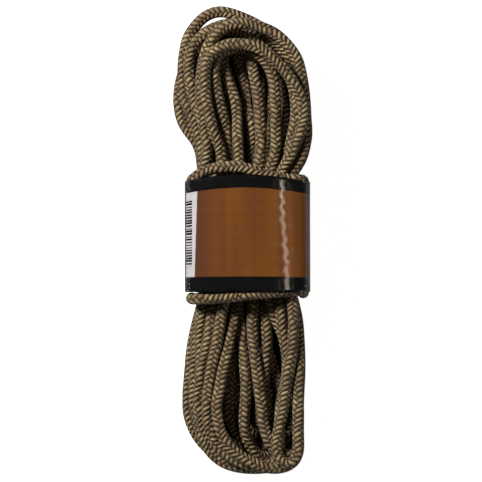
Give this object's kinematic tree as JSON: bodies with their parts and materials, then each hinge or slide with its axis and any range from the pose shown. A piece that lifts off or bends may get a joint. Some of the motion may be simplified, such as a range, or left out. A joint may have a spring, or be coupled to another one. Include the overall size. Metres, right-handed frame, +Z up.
{
  "type": "cord hank",
  "caption": "Braided utility cord tied as a flat hank, wrapped round the waist and held by a glossy printed card sleeve.",
  "frame": {"origin": "middle of the hank's outline seen from the front, on the surface that it lies on", "axes": "+Y along the hank to its rounded upper end, +X to the right seen from the front, +Z up out of its front"},
  "size_m": [0.0842, 0.2851, 0.0686],
  "materials": {
    "braided_cover": "coyote brown braided nylon, matt with a soft sheen",
    "core_yarn": "undyed twisted nylon yarn",
    "melted_end": "cord end melted to a dark glossy plug",
    "printed_card": "thin card printed brown between black bands, with a pale panel",
    "clear_film": "clear glossy film",
    "seam_glue": "dried hot glue"
  },
  "bodies": {
    "cord": {"hank_cover": "braided_cover", "hank_core": "core_yarn", "wrap_cover": "braided_cover", "wrap_core": "core_yarn", "inner_end": "melted_end", "outer_end": "melted_end"},
    "sleeve": {"sleeve_card": "printed_card", "sleeve_film": "clear_film", "sleeve_glue": "seam_glue"}
  },
  "joints": [
    {"name": "sleeve_slide", "type": "slide", "parent": "cord", "child": "sleeve", "axis": [0, 1, 0], "range_m": [-0.008, 0.008]}
  ]
}
